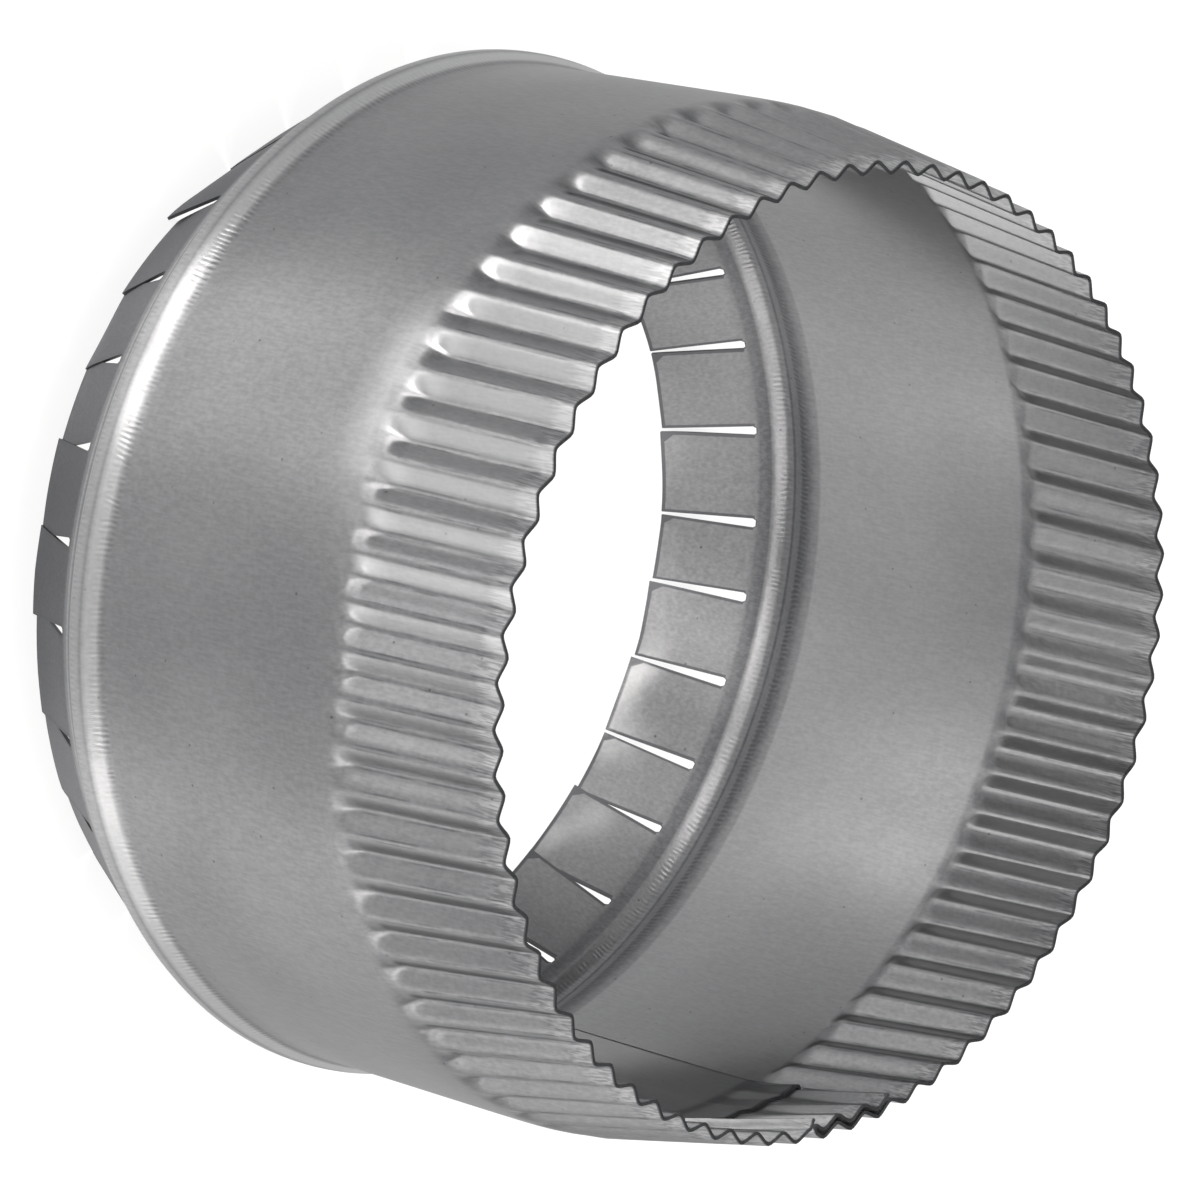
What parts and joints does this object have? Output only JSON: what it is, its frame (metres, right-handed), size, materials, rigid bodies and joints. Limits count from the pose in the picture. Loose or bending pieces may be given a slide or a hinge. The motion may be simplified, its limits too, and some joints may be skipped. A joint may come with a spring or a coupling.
{
  "type": "duct starting collar",
  "caption": "Round sheet-metal duct starting collar with a crimped end, a rolled stop bead, a locked side seam and slotted tabs bent inwards.",
  "frame": {"origin": "centre of the plane of the tab ends, on the duct's axis", "axes": "+Z along the duct's axis from the tabs to the crimped end, +X through the locked seam"},
  "size_m": [0.1558, 0.1558, 0.096],
  "materials": {
    "galvanised_steel": "hot-dip galvanised sheet, satin, with rolled grain and a faint spangle"
  },
  "bodies": {
    "root": {"starting_collar": "galvanised_steel"}
  },
  "joints": []
}
